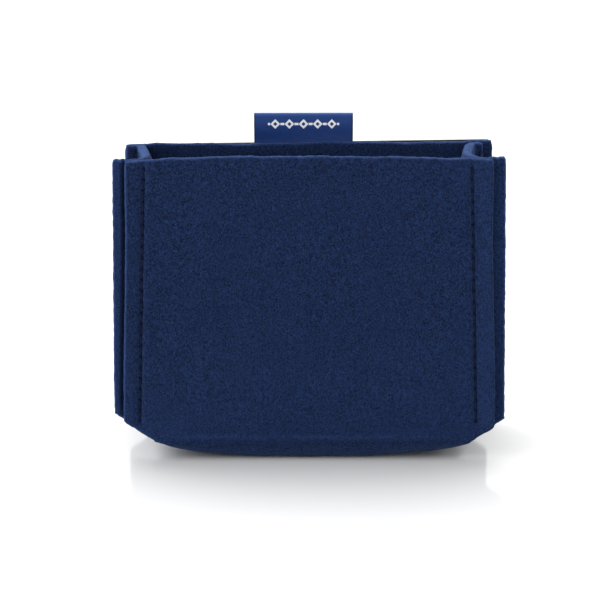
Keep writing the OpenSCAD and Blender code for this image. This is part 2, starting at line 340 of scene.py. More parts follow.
def thread_mesh(name, start, end, into, stitches, material, sink=0.42, dip=1.5):
    """One thread of a lockstitch seam: it lies in its groove and dips into the felt at every
    needle hole. start and end are the first and the last hole on the felt's face."""
    start, end, into = (np.array(v, float) for v in (start, end, into))
    side = np.cross(end - start, into)
    side /= np.linalg.norm(side)
    per_stitch, sides, turns_per_mm, arch = 18, 10, 3.2, 0.14
    t = np.linspace(0, stitches, stitches * per_stitch + 1)
    near_hole = np.abs(2 * (t % 1) - 1)
    depth = sink - arch * (1 - near_hole ** 2) + dip * near_hole ** 8
    path = start + np.outer(t / stitches, end - start) + np.outer(depth, into)
    tangent = np.gradient(path, axis=0)
    tangent /= np.linalg.norm(tangent, axis=1, keepdims=True)
    up = np.cross(side, tangent)
    angle = np.linspace(0, 2 * math.pi, sides, endpoint=False)
    twist = t[:, None] * STITCH * turns_per_mm
    r = THREAD_D / 2 * (0.9 + 0.14 * np.cos(2 * (angle[None, :] - twist)))
    ring = path[:, None, :] + r[..., None] * (
        np.cos(angle)[None, :, None] * up[:, None, :] + np.sin(angle)[None, :, None] * side
    )
    faces = []
    for k in range(len(t) - 1):
        for m in range(sides):
            a, b = k * sides + m, k * sides + (m + 1) % sides
            faces.append([a, b, b + sides, a + sides])
    faces.append(list(range(sides))[::-1])
    faces.append([(len(t) - 1) * sides + m for m in range(sides)])
    return make_object(name, ring.reshape(-1, 3), faces, material)


# ------------------------------------ materials

FELT_DARK = (0.0007, 0.0028, 0.0105, 1)
FELT_LIGHT = (0.0120, 0.0275, 0.094, 1)
# Lighter felt colour: fuzz on cut edges, and painted highlight and painted light.
FELT_FUZZ_AND_HIGHLIGHT = (0.0165, 0.037, 0.118, 1)
THREAD_DARK = (0.0008, 0.0025, 0.011, 1)
THREAD_LIGHT = (0.003, 0.008, 0.034, 1)
RIBBON_DARK = (0.006, 0.020, 0.095, 1)
RIBBON_LIGHT = (0.0085, 0.036, 0.150, 1)
# Painted highlight on the ribbon near its fold over the top.
RIBBON_PAINTED_HIGHLIGHT = (0.009, 0.046, 0.20, 1)
RIBBON_EDGE = (0.005, 0.016, 0.07, 1)
MOTIF_WHITE = (0.75, 0.77, 0.80, 1)
MAGNET_DARK = (0.004, 0.0045, 0.006, 1)
MAGNET_LIGHT = (0.011, 0.012, 0.015, 1)
FILM_DARK = (0.55, 0.55, 0.5, 1)
FILM_LIGHT = (0.75, 0.75, 0.7, 1)
FLOOR_GREY = (0.66, 0.66, 0.66, 1)


class Nodes:
    """A short way to write a material's nodes and links."""

    def __init__(self, name):
        self.material = bpy.data.materials.new(name)
        self.material.use_nodes = True
        self.tree = self.material.node_tree
        self.shader = self.tree.nodes["Principled BSDF"]

    def feed(self, socket, value):
        """Links another node's output to a socket, or sets the socket's own value."""
        if isinstance(value, bpy.types.NodeSocket):
            self.tree.links.new(value, socket)
        else:
            socket.default_value = value

    def add(self, kind, inputs=None, **settings):
        """A new node with these inputs and settings."""
        node = self.tree.nodes.new("ShaderNode" + kind)
        for key, value in settings.items():
            setattr(node, key, value)
        for key, value in (inputs or {}).items():
            self.feed(node.inputs[key], value)
        return node

    def set(self, **values):
        """The shader's own inputs; an underscore stands for a space."""
        for key, value in values.items():
            self.feed(self.shader.inputs[key.replace("_", " ")], value)

    def math(self, operation, a, b=0.0):
        """One arithmetic operation on two values."""
        return self.add("Math", {0: a, 1: b}, operation=operation).outputs[0]

    def mix(self, factor, a, b):
        """The colour between a and b."""
        return self.add("Mix", {0: factor, 6: a, 7: b}, data_type="RGBA").outputs[2]

    def ramp(self, value, lo, hi):
        """value stretched from lo..hi to 0..1."""
        node = self.add("MapRange", {"Value": value, "From Min": lo, "From Max": hi})
        return node.outputs["Result"]

    def bump(self, strength, depth, height):
        """Bumps of this depth in millimetres, joined to the shader."""
        inputs = {"Strength": strength, "Distance": depth * MM, "Height": height}
        self.set(Normal=self.add("Bump", inputs).outputs[0])

    def millimetres(self):
        """The place on the object, in millimetres."""
        place = self.add("TexCoord").outputs["Object"]
        scale = (1 / MM, 1 / MM, 1 / MM)
        return self.add("Mapping", {"Vector": place, "Scale": scale}).outputs[0]

    def noise(self, place, scale, detail=2.0, roughness=0.5):
        """Cloudy noise with this many clouds in a millimetre."""
        inputs = {"Vector": place, "Scale": scale, "Detail": detail, "Roughness": roughness}
        return self.add("TexNoise", inputs).outputs[0]


def fibres(n, place, turn, size):
    """Streaks of this size in one direction, such as a layer of fibres in felt."""
    inputs = {"Vector": place, "Rotation": turn, "Scale": size}
    turned = n.add("Mapping", inputs, vector_type="TEXTURE").outputs[0]
    return n.noise(turned, 1.0, 2.0, 0.6)


def felt_material():
    """Dark blue needled felt: crossing fibres, faint clouds, and a lighter colour where the
    worn attribute says, which is partly fuzz on cut edges and partly painted highlight.
    """
    n = Nodes("felt")
    place = n.millimetres()
    bend = n.add("TexNoise", {"Vector": place, "Scale": 0.35, "Detail": 1.0}).outputs[1]
    warp = n.add("VectorMath", {0: bend, "Scale": 2.4}, operation="SCALE").outputs[0]
    warped = n.add("VectorMath", {0: place, 1: warp}, operation="ADD").outputs[0]
    layers = [
        fibres(n, warped, (0.3, 0.7, 0.4), (1.9, 0.42, 0.42)),
        fibres(n, warped, (0.2, 1.5, 0.5), (1.7, 0.40, 0.40)),
        fibres(n, warped, (0.9, 2.4, 0.3), (2.0, 0.45, 0.45)),
    ]
    strands = n.math("MAXIMUM", n.math("MAXIMUM", layers[0], layers[1]), layers[2])
    fine = n.noise(place, 1.9, 2.0, 0.65)
    clouds = n.noise(place, 0.11, 3.0, 0.55)
    patches = n.noise(place, 0.55, 2.0, 0.6)
    strand_share = n.ramp(strands, 0.52, 0.67)
    tone = n.math("MULTIPLY", strand_share, 0.45)
    tone = n.math("ADD", tone, n.math("MULTIPLY", n.ramp(fine, 0.42, 0.58), 0.45))
    tone = n.math("ADD", tone, n.math("MULTIPLY", n.ramp(clouds, 0.3, 0.7), 0.06))
    tone = n.math("ADD", tone, n.math("MULTIPLY", n.ramp(patches, 0.3, 0.7), 0.04))
    colour = n.mix(tone, FELT_DARK, FELT_LIGHT)
    # The worn attribute carries lighter fuzz and painted light: highlights on creases, rims and
    # lit edges, and light painted on parts left in shade.
    worn = n.add("Attribute", attribute_name="worn").outputs["Fac"]
    fuzz = n.math("MULTIPLY", worn, n.ramp(fine, 0.2, 0.75))
    n.set(
        Base_Color=n.mix(fuzz, colour, FELT_FUZZ_AND_HIGHLIGHT),
        Roughness=0.95,
        Specular_IOR_Level=0.08,
        Sheen_Weight=0.2,
        Sheen_Roughness=0.45,
        Sheen_Tint=(0.25, 0.45, 1.0, 1.0),
    )
    height = n.math("ADD", n.math("MULTIPLY", strand_share, 0.7), n.math("MULTIPLY", fine, 0.6))
    n.bump(0.95, 0.25, height)
    return n.material


def thread_material():
    """Twisted polyester thread, a little glossier than the felt."""
    n = Nodes("thread")
    fine = n.noise(n.millimetres(), 4.0, 2.0, 0.6)
    n.set(
        Base_Color=n.mix(n.ramp(fine, 0.3, 0.7), THREAD_DARK, THREAD_LIGHT),
        Roughness=0.7,
        Specular_IOR_Level=0.12,
    )
    n.bump(0.3, 0.05, fine)
    return n.material


def ribbon_material(front_row, motif_row):
    """Satin ribbon with fine ribs and a plain woven row of diamonds and dashes. Near the fold
    over the top, a painted highlight lightens it.

    The cloth coordinates are millimetres across the ribbon and along its length. front_row
    is where the front reaches the top of the label, and motif_row where the motif runs."""
    rib_pitch, warp_pitch = 0.34, 0.22
    n = Nodes("ribbon")
    cloth = n.add("UVMap", uv_map="cloth").outputs[0]
    split = n.add("SeparateXYZ", {0: cloth})
    across, along = split.outputs[0], split.outputs[1]
    ribs = n.math("SINE", n.math("MULTIPLY", along, 2 * math.pi / rib_pitch))
    warps = n.math("SINE", n.math("MULTIPLY", across, 2 * math.pi / warp_pitch))
    stretched = n.add("Mapping", {"Vector": cloth, "Scale": (0.25, 3.0, 1.0)}).outputs[0]
    streaks = n.noise(stretched, 1.0, 3.0, 0.6)
    weave = n.math("ADD", n.math("MULTIPLY", ribs, 0.5), n.math("MULTIPLY", warps, 0.5))
    tone = n.math("ADD", n.ramp(streaks, 0.3, 0.7), n.math("MULTIPLY", weave, 0.18))
    colour = n.mix(tone, RIBBON_DARK, RIBBON_LIGHT)
    # Painted highlight that fades away from the fold over the top.
    fold_highlight = n.ramp(n.math("ABSOLUTE", n.math("SUBTRACT", along, front_row)), 9.5, 1.0)
    colour = n.mix(n.math("MULTIPLY", fold_highlight, 0.8), colour, RIBBON_PAINTED_HIGHLIGHT)
    off = n.math("ABSOLUTE", n.math("SUBTRACT", along, motif_row))
    in_row = n.math("LESS_THAN", n.math("ABSOLUTE", across), MOTIF_HALF)
    step = n.math("PINGPONG", n.math("ADD", across, MOTIF_PITCH / 2), MOTIF_PITCH / 2)
    from_middle = n.math("SUBTRACT", MOTIF_PITCH / 2, step)
    diamond = n.math("LESS_THAN", n.math("ADD", from_middle, off), 1.7)
    hollow = n.math("GREATER_THAN", n.math("ADD", from_middle, off), 0.75)
    dash = n.math("MULTIPLY", n.math("LESS_THAN", step, 0.7), n.math("LESS_THAN", off, 0.4))
    drawn = n.math("MAXIMUM", n.math("MULTIPLY", diamond, hollow), dash)
    drawn = n.math("MULTIPLY", drawn, in_row)
    selvedge = n.ramp(n.math("ABSOLUTE", across), LABEL_HALF - 0.75, LABEL_HALF - 0.45)
    colour = n.mix(n.math("MULTIPLY", selvedge, 0.75), colour, RIBBON_EDGE)
    n.set(
        Base_Color=n.mix(drawn, colour, MOTIF_WHITE),
        Roughness=0.5,
        Specular_IOR_Level=0.25,
        Anisotropic=0.4,
    )
    height = n.math("ADD", weave, n.math("MULTIPLY", drawn, 1.5))
    n.bump(0.35, 0.05, height)
    return n.material


def magnet_material():
    """Flexible magnet: nearly black and matt, with fine lines from its extrusion."""
    n = Nodes("magnet")
    place = n.millimetres()
    stretched = n.add("Mapping", {"Vector": place, "Scale": (0.02, 1.0, 2.4)}).outputs[0]
    lines = n.noise(stretched, 1.0, 3.0, 0.6)
    grain = n.noise(place, 2.5, 3.0, 0.6)
    worn = n.noise(place, 0.06, 4.0, 0.6)
    tone = n.math("ADD", n.math("MULTIPLY", lines, 0.6), n.math("MULTIPLY", grain, 0.4))
    colour = n.mix(n.ramp(tone, 0.35, 0.65), MAGNET_DARK, MAGNET_LIGHT)
    n.set(
        Base_Color=colour,
        Roughness=n.math("ADD", 0.6, n.math("MULTIPLY", worn, 0.25)),
        Specular_IOR_Level=0.2,
    )
    height = n.math("ADD", lines, n.math("MULTIPLY", grain, 0.5))
    n.bump(0.25, 0.08, height)
    return n.material


def film_material():
    """Milky adhesive film."""
    n = Nodes("adhesive")
    cloudy = n.noise(n.millimetres(), 0.4, 3.0, 0.6)
    n.set(Base_Color=n.mix(cloudy, FILM_DARK, FILM_LIGHT), Roughness=0.35)
    return n.material


# ------------------------------------ the felt wrap


def by_side(x, pair):
    """A value that differs between the left and the right side, blended in the middle."""
    share = smooth_step(x, -12, 12)
    return pair[0] * (1 - share) + pair[1] * share


def front_rim(x):
    """Height of the front panel's upper edge, which rises in the middle."""
    left = 2.0 * np.abs(x / FRONT_HALF) ** 3.5
    right = 1.0 * np.abs(x / FRONT_HALF) ** 2
    wave = 0.10 * np.sin(x / 4.3 + 1) + 0.08 * np.sin(x / 1.9)
    return RIM_Z + 1.2 - np.where(x < 0, left, right) + wave


def back_rim(x):
    """Height of the back panel's upper edge, which is a little wavy."""
    wave = 0.22 * np.sin(x / 9.0 + 0.6) + 0.10 * np.sin(x / 3.1)
    return RIM_Z + 0.6 * x / HALF_W + wave


def base_rise(x):
    """Height of the base above its lowest point: it bulges downwards in the middle."""
    rise = by_side(x, BULGE) * np.abs(x / BULGE_HALF) ** by_side(x, BULGE_POWER)
    return rise + by_side(x, EDGE_LIFT) * smooth_step(np.abs(x), 45.5, 53)


def panel_half(side, z):
    """Half the width of the front panel on one side, at a height."""
    share = smooth_step(z, 12, 86)
    return FRONT_HALF + PANEL_AT_RIM[side] * share + PANEL_AT_FOOT[side] * (1 - share)


def cut_half_width(z, half_w, wall_x, drop):
    """Half the width of a wall at a height, with its lower corner cut away and rounded."""
    on_cut = wall_x + (z - FOLD_R + drop) / CORNER_SLOPE
    rounded_top = 0.25 * math.exp(-max(RIM_Z - z, 0) / 0.6)
    return float(smooth_min(half_w, on_cut, 0.3)) - rounded_top - EDGE_R


def spaced(*stretches):
    """Joins stretches of (start, end, step) into one rising or falling list of stations."""
    stations = []
    for start, end, step in stretches:
        count = max(int(round(abs(end - start) / step)), 1)
        stations.append(np.linspace(start, end, count, endpoint=False))
    return np.append(np.concatenate(stations), stretches[-1][1])


def wrap_columns():
    """Stations across the wrap, from -1 to 1, closer together where the seams are."""
    right = spaced((0, 49, 1.06), (49, FRONT_HALF, 0.5)) / FRONT_HALF
    return np.concatenate([-right[:0:-1], right])


def front_shift(x, z):
    """How far the front panel leans out of its plane: a slight belly, and raw edges that
    stand off from the fins behind them."""
    up = np.clip((z - 6) / 110, 0, 1)
    belly = BELLY * (1 - (x / FRONT_HALF) ** 2) * np.sin(up * math.pi)
    gape = by_side(x, FLARE) * smooth_step(np.abs(x), FRONT_SEAM + 1, FRONT_HALF)
    return -belly - gape


def wrap_grid():
    """Points of the wrap's middle surface, from the front rim under the bin to the back rim,
    the number of rows in the front panel and the first row of the back panel."""
    u = wrap_columns()
    mid_r = FOLD_R - HALF_FELT
    front_mid, back_mid = FRONT_Y + HALF_FELT, BACK_Y - HALF_FELT
    rows = []

    def spread(half_left, half_right):
        return np.where(u < 0, u * half_left, u * half_right)

    def no_shift(x, z):
        return 0 * x

    def wall_row(z, halves, wall_x, drops, rim, plane_y, shift):
        x = spread(*(cut_half_width(z, half, wall_x, drop)
                     for half, drop in zip(halves, drops)))
        top = rim(x) - EDGE_R
        height = FOLD_R + (z - FOLD_R) * (top - FOLD_R) / (RIM_Z - FOLD_R)
        return np.stack([x, plane_y + shift(x, height), height], 1)

    def fold_row(angle, wall_x, drops, plane_y, inward):
        share = angle / (math.pi / 2)
        base_half = wall_x - BASE_INSET - EDGE_R
        halves = [
            base_half + (cut_half_width(FOLD_R, HALF_W, wall_x, drop) - base_half) * (1 - share)
            for drop in drops
        ]
        x = spread(*halves)
        low = HALF_FELT + base_rise(x)
        y = plane_y + inward * mid_r * (1 - math.cos(angle))
        return np.stack([x, np.full_like(x, y), FOLD_R - (FOLD_R - low) * math.sin(angle)], 1)

    heights = spaced((RIM_Z, 14, 0.84), (14, FOLD_R, 0.6))
    back_heights = spaced((RIM_Z, 14, 1.1), (14, FOLD_R, 0.8))
    angles = np.linspace(0, math.pi / 2, 15)
    depths = spaced((front_mid + mid_r, back_mid - mid_r, 1.0))
    for z in heights:
        halves = (panel_half(0, z), panel_half(1, z))
        rows.append(wall_row(z, halves, WALL_FRONT, CUT_DROP, front_rim, front_mid,
                             front_shift))
    for angle in angles[1:]:
        rows.append(fold_row(angle, WALL_FRONT, CUT_DROP, front_mid, 1))
    for y in depths[1:-1]:
        share = (y - depths[0]) / (depths[-1] - depths[0])
        half = (WALL_FRONT + (WALL_BACK - WALL_FRONT) * share) - BASE_INSET - EDGE_R
        x = spread(half, half)
        rows.append(np.stack([x, np.full_like(x, y), HALF_FELT + base_rise(x)], 1))
    for angle in angles[:0:-1]:
        rows.append(fold_row(angle, WALL_BACK, NO_DROP, back_mid, -1))
    for z in back_heights[::-1]:
        rows.append(wall_row(z, (HALF_W, HALF_W), WALL_BACK, NO_DROP, back_rim, back_mid,
                             no_shift))
    return np.array(rows), len(heights), len(rows) - len(back_heights)


def base_seam_line():
    """The first needle hole of the right base seam and the seam's direction, in plan."""
    along = np.array([math.sin(WALL_SLANT), math.cos(WALL_SLANT)])
    outward = np.array([math.cos(WALL_SLANT), -math.sin(WALL_SLANT)])
    corner = np.array([WALL_FRONT, FRONT_FIN_Y])
    line = corner - outward * (TAB_FOLD_R + TAB_L / 2)
    first = line + along * ((base_needle_lo[1] + THREAD_D / 2 - line[1]) / along[1])
    return first, along


def base_stitches():
    """Number of stitches in a base seam."""
    run = (base_needle_hi[1] - base_needle_lo[1] - THREAD_D) / math.cos(WALL_SLANT)
    return int(round(run / STITCH))


def base_seam_relief(x, y):
    """How deep the right base seam presses the felt in."""
    start, along = base_seam_line()
    dx, dy = x - start[0], y - start[1]
    return seam_relief(dx * along[1] - dy * along[0], dx * along[0] + dy * along[1],
                       0, STITCH * base_stitches())


def front_seam_x(side, z):
    """Distance of a front seam from the middle: the real seams lean a little."""
    share = z / RIM_Z
    return FRONT_SEAM + SEAM_AT_FOOT[side] * (1 - share) + SEAM_AT_RIM[side] * share


def seam_span(lo, hi, skipped=0):
    """The first and the last needle hole of an upright seam, without its lowest stitches."""
    return lo[2] + THREAD_D / 2 + skipped * STITCH, hi[2] - THREAD_D / 2


def wrap_edge_fuzz_and_highlight(points):
    """Cut edges drawn lighter, partly as fuzz and partly as painted highlight: the front
    panel's left raw edge, where the light falls, gets the most, its right one, which lies in
    shade, none.
    """
    below_rim = 1 - smooth_step(points[:, 2], RIM_Z - 3, RIM_Z - 1)
    return 0.85 + below_rim * np.where(points[:, 0] < 0, 0.45, -0.85)


def both_front_seams_x(x, z):
    """Distance from the middle to the front seam on each point's own side."""
    return np.where(x < 0, front_seam_x(0, z), front_seam_x(1, z))


def wrap_relief(mid, is_front, is_back):
    """How deep the seams and the label press in the wrap's outer and inner faces."""
    x, y, z = mid[..., 0], mid[..., 1], mid[..., 2]
    first, last = seam_span(front_needle_lo, front_needle_hi, 1)
    across = np.abs(x) - both_front_seams_x(x, z)
    outer = is_front * seam_relief(across, z, first, last, RIM_Z - last)
    first, last = seam_span(back_needle_lo, back_needle_hi)
    outer += is_back * seam_relief(np.abs(x) - BACK_SEAM, z, first, last)
    outer += np.where(is_front | is_back, 0, base_seam_relief(np.abs(x), y))
    in_pocket = smooth_step(LABEL_HALF + 0.5 - np.abs(x - LABEL_X), 0, 0.8)
    in_pocket *= smooth_step(z, ends_lo[2] - 0.8, ends_lo[2])
    outer += is_back * in_pocket * (ends_hi[1] - ends_lo[1])
    first = label_needle_lo[0] + THREAD_D / 2
    last = label_needle_hi[0] - THREAD_D / 2
    label_z = (label_needle_lo[2] + label_needle_hi[2]) / 2
    inner = is_back * seam_relief(z - label_z, x, first, last)
    return outer, inner


def wrap_creases(mid, is_front):
    """The faint ridge above the front fold, and the crumple at the lower left."""
    x, z = mid[..., 0], mid[..., 2]
    ridge = np.exp(-(((z - FOLD_R - 1.2) / 0.55) ** 2)) * (0.7 + 0.5 * lumps(mid, 9.0))
    ridge = is_front * ridge * (1 - smooth_step(np.abs(x), 38, 50))
    crumple = np.exp(-(((x + 36.5 + 0.02 * (z - 25)) / 0.5) ** 2))
    crumple = is_front * crumple * smooth_step(z, 9, 16) * (1 - smooth_step(z, 36, 44))
    return ridge, crumple


def wrap_lightening(mid, is_front, ridge, crumple):
    """How much lighter the wrap is drawn: painted highlight along the ridge above the front
    fold and along the crumple, painted light on the front panel's right margin outside its
    seam, and lighter low on the front panel and at its lower left corner.
    """
    x, z = mid[..., 0], mid[..., 2]
    seam_x = both_front_seams_x(x, z)
    # Painted highlight along the crease ridge and the crumple.
    lightening = 0.8 * ridge + 0.35 * crumple
    lightening += is_front * 0.22 * (1 - smooth_step(z, 10, 55))
    # Painted light on the front panel's right margin, outside its seam.
    lightening += is_front * 0.30 * smooth_step(x, seam_x + 0.8, seam_x + 2.5)
    lightening += is_front * 0.22 * (1 - smooth_step(x, -46, -34)) * (1 - smooth_step(z, 8, 18))
    return lightening


def build_wrap(material):
    """The front panel, the base and the back panel in one strip."""
    mid, front_rows, back_from = wrap_grid()
    inside = np.ones((mid.shape[0] - 1, mid.shape[1] - 1), bool)
    row = np.arange(len(mid))[:, None]
    is_front, is_back = row < front_rows, row >= back_from
    outer, inner = wrap_relief(mid, is_front, is_back)
    ridge, crumple = wrap_creases(mid, is_front)
    outer -= 0.42 * ridge + 0.16 * crumple
    lightening = wrap_lightening(mid, is_front, ridge, crumple)
    wander = 0.16 * lumps(mid, 14.0, 2.0) + 0.07 * lumps(mid, 5.0, 5.0)
    mid = mid + (wander * (~is_back))[..., None] * sheet_normals(mid, inside)
    wrap = thick_sheet("felt_wrap_cloth", mid, inside, FELT, (outer, inner), material, seed=1.0,
                       lightening=lightening, edge_lightening=wrap_edge_fuzz_and_highlight)
    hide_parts("felt_wrap")
    return wrap


# ------------------------------------ the side gussets


def corner_curve(before, corner, after, reach_in, reach_out, count):
    """Points of a soft corner that starts and ends at these distances from it."""
    start = corner + (before - corner) / np.linalg.norm(before - corner) * reach_in
    end = corner + (after - corner) / np.linalg.norm(after - corner) * reach_out
    t = np.linspace(0, 1, count)[:, None]
    return (1 - t) ** 2 * start + 2 * t * (1 - t) * corner + t * t * end


def straight(start, end, cells):
    """Points of a straight line with this many equal cells."""
    return start + (end - start) * np.linspace(0, 1, cells + 1)[:, None]


def gusset_plan(height, side):
    """Middle line of the right gusset in plan at this height, from the front raw edge to the
    back one. The web bows into the bin, and the front corner opens wide at the rim."""
    front_mid, back_mid = FRONT_FIN_Y - HALF_FELT, BACK_FIN_Y + HALF_FELT
    below_rim = max(RIM_Z - height, 0)
    near_rim = math.exp(-below_rim / 12)
    lean = RIM_LEAN[side] * near_rim
    spread = FIN_SPREAD[side] * (1 - height / RIM_Z) + FIN_AT_RIM
    a = np.array([HALF_W + spread - EDGE_R, front_mid])
    b = np.array([WALL_FRONT + lean - HALF_FELT, front_mid])
    c = np.array([WALL_BACK + lean - HALF_FELT, back_mid])
    d = np.array([BACK_FIN_HALF + BACK_FIN_OUT[side] - EDGE_R, back_mid])
    reach = [CORNER_REACH + more * near_rim for more in RIM_REACH]
    front_corner = corner_curve(a, b, c, *reach, GUSSET_CELLS["front_corner"] + 1)
    back_corner = corner_curve(b, c, d, *BACK_REACH, GUSSET_CELLS["back_corner"] + 1)
    front_fin = straight(a, front_corner[0], GUSSET_CELLS["front_fin"])
    front_fin[:, 1] += FIN_GAPE * smooth_step(front_fin[:, 0], FRONT_SEAM + 1, HALF_W)
    web = straight(front_corner[-1], back_corner[0], GUSSET_CELLS["web"])
    sag = (1 - math.exp(-below_rim / 5)) * float(smooth_step(height, TAB_TURN_Z, 45))
    bow = 0.2 + WEB_BOW * sag
    web[:, 0] -= bow * np.sin(math.pi * np.linspace(0, 1, len(web))) ** 1.3
    back_fin = straight(back_corner[-1], d, GUSSET_CELLS["back_fin"])
    return np.concatenate([front_fin[:-1], front_corner[:-1], web[:-1], back_corner[:-1],
                           back_fin])


def gusset_rims(side):
    """Upper and lower height of the gusset at each of its columns."""
    plan = gusset_plan(RIM_Z, side)
    low_plan = gusset_plan(FOLD_R, side)
    cells = GUSSET_CELLS
    web_from = cells["front_fin"] + cells["front_corner"]
    web_to = web_from + cells["web"]
    columns = np.arange(len(plan))
    share = np.clip((columns - 4) / (len(plan) - 8), 0, 1)
    top = FIN_TOP[side] * (1 - share) + BACK_TOP[side] * share
    top += 0.3 * np.exp(-((columns - web_from + 3) / 5.0) ** 2)
    top += 0.12 * np.sin(columns / 2.7 + side) - EDGE_R
    top[0] -= 0.3
    x = low_plan[:, 0]
    front_cut = FOLD_R + (x - WALL_FRONT) * CORNER_SLOPE - CUT_DROP[side]
    back_cut = FOLD_R + (x - WALL_BACK) * CORNER_SLOPE
    low = np.where(columns < web_from, front_cut, back_cut) + 0.25
    to_web = smooth_step(columns, web_from - 6, web_from) * (
        1 - smooth_step(columns, web_to, web_to + 5)
    )
    low = np.maximum(low, FOLD_R) * (1 - to_web) + TAB_TURN_Z * to_web
    return top, low, web_from, web_to


def gusset_grid(side):
    """Points of a gusset's middle surface as if it were on the right, which cells are cloth,
    and the number of rows above the tab's fold."""
    top, low, web_from, web_to = gusset_rims(side)
    steps = spaced((0, 1, 0.0095))
    rows = []
    for t in steps:
        height = RIM_Z + (TAB_TURN_Z - RIM_Z) * t
        plan = gusset_plan(height, side)
        z = top + (low - top) * t
        rows.append(np.column_stack([plan, z]))
    last = rows[-1]
    mid_r = TAB_FOLD_R - HALF_FELT
    angles = np.linspace(0, math.pi / 2, 12)[1:]
    flats = spaced((0, TAB_L - EDGE_R, 1.0))[1:]
    offsets = [(mid_r * (1 - math.cos(a)), math.sin(a)) for a in angles]
    offsets += [(mid_r + flat, 1.0) for flat in flats]
    for inwards, sunk in offsets:
        plan = last[:, :2] - np.array([inwards / math.cos(WALL_SLANT), 0])
        lowest = FELT + HALF_FELT + TAB_GAP + base_rise(plan[:, 0] * (-1, 1)[side])
        z = TAB_TURN_Z - (TAB_TURN_Z - lowest) * sunk
        rows.append(np.column_stack([plan, z]))
    mid = np.array(rows)
    inside = np.ones((mid.shape[0] - 1, mid.shape[1] - 1), bool)
    inside[len(steps) - 1:, :web_from] = False
    inside[len(steps) - 1:, web_to:] = False
    return mid, inside, len(steps)


def gusset_edge_fuzz_and_highlight(points):
    """The upper edges are drawn light, partly as fuzz and partly as painted highlight from the
    light above; the back fins' upright edges hardly at all.
    """
    below_rim = 1 - smooth_step(points[:, 2], RIM_Z - 3, RIM_Z - 1)
    return 1.6 - 1.5 * below_rim * smooth_step(points[:, 1], BACK_FIN_Y, BACK_FIN_Y + 1)


def gusset_relief(side, mid, upright):
    """How deep the seams press in the gusset's outer and inner faces. The left front fin
    also curls forward beside the front panel's edge."""
    x, y, z = mid[..., 0], mid[..., 1], mid[..., 2]
    columns = np.arange(mid.shape[1])[None, :]
    half = mid.shape[1] // 2
    on_front_fin = upright & (columns < half) & (y < FRONT_FIN_Y - 0.6)
    on_back_fin = upright & (columns > half) & (y > BACK_FIN_Y + 0.6)
    first, last = seam_span(front_needle_lo, front_needle_hi, 1)
    seam = seam_relief(x - front_seam_x(side, z), z, first, last)
    outer = FIN_RELIEF * on_front_fin * seam
    first, last = seam_span(back_needle_lo, back_needle_hi)
    outer += FIN_RELIEF * on_back_fin * seam_relief(x - BACK_SEAM, z, first, last)
    inner = (~upright) * base_seam_relief(x, y)
    if side == 0:
        past_panel = x - panel_half(0, z)
        groove = 1.5 * np.exp(-(((past_panel - 0.45) / 0.4) ** 2))
        curl = 1.3 * smooth_step(past_panel, 0.7, 1.4)
        above_cut = smooth_step(z, 13, 20)
        inner = inner + (upright & (columns < half)) * above_cut * (groove - curl)
    return outer, inner


def build_gusset(side, material):
    """The left (0) or right (1) side wall with its fins and its tab on the base."""
    mid, inside, upright_rows = gusset_grid(side)
    y = mid[..., 1]
    upright = np.arange(mid.shape[0])[:, None] < upright_rows
    middle = mid.shape[1] // 2
    outer, inner = gusset_relief(side, mid, upright)
    front_part = upright & (np.arange(mid.shape[1])[None, :] < middle)
    # Painted light on the front fins, beside the front panel's edges.
    lightening = FIN_PAINTED_LIGHT[side] * front_part * (y < FRONT_FIN_Y)
    wander = 0.22 * lumps(mid, 16.0, 3.0 + side) + 0.08 * lumps(mid, 5.0, 8.0 + side)
    free = upright & (y > FRONT_FIN_Y + 2) & (y < BACK_FIN_Y - 2)
    mid = mid + (wander * free)[..., None] * sheet_normals(mid, inside)
    if side == 0:
        mid = mid[:, ::-1] * (-1, 1, 1)
        inside = inside[:, ::-1]
        outer, inner, lightening = outer[:, ::-1], inner[:, ::-1], lightening[:, ::-1]
    name = SIDES[side] + "_gusset"
    gusset = thick_sheet(name + "_cloth", mid, inside, FELT, (outer, inner), material,
                         seed=20.0 + side, lightening=lightening, edge_lightening=gusset_edge_fuzz_and_highlight)
    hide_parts(name)
    return gusset


# ------------------------------------ the seams


def upright_threads(material):
    """The needle and bobbin threads of the four upright seams."""
    made = []
    for place, lo, hi, needle_y, bobbin_y, into in (
        ("front", front_needle_lo, front_needle_hi, FRONT_Y, FRONT_FIN_Y, 1),
        ("back", back_needle_lo, back_needle_hi, BACK_Y, BACK_FIN_Y, -1),
    ):
        first, last = seam_span(lo, hi, 1 if place == "front" else 0)
        stitches = int(round((last - first) / STITCH))
        for side, sign in ((0, -1), (1, 1)):
            ends = [BACK_SEAM, BACK_SEAM]
            if place == "front":
                ends = [front_seam_x(side, first), front_seam_x(side, last)]
            for kind, y, way in (("needle", needle_y, into), ("bobbin", bobbin_y, -into)):
                node = f"{place}_{SIDES[side]}_{kind}_thread"
                thread = thread_mesh(node + "_yarn", (sign * ends[0], y, first),
                                     (sign * ends[1], y, last), (0, way, 0), stitches, material)
                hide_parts(node)
                made.append(thread)
    return made


def base_threads(material):
    """The threads that hold the gussets' tabs to the base."""
    made = []
    start, along = base_seam_line()
    for side, sign in (("left", -1), ("right", 1)):
        far = start + along * STITCH * base_stitches()
        rises = [float(base_rise(np.array([sign * p[0]]))[0]) for p in (start, far)]
        for kind, z, way in (("needle", 0, 1), ("bobbin", 2 * FELT + TAB_GAP, -1)):
            node = f"base_{side}_{kind}_thread"
            thread = thread_mesh(node + "_yarn", (sign * start[0], start[1], z + rises[0]),
                                 (sign * far[0], far[1], z + rises[1]), (0, 0, way),
                                 base_stitches(), material)
            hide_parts(node)
            made.append(thread)
    return made


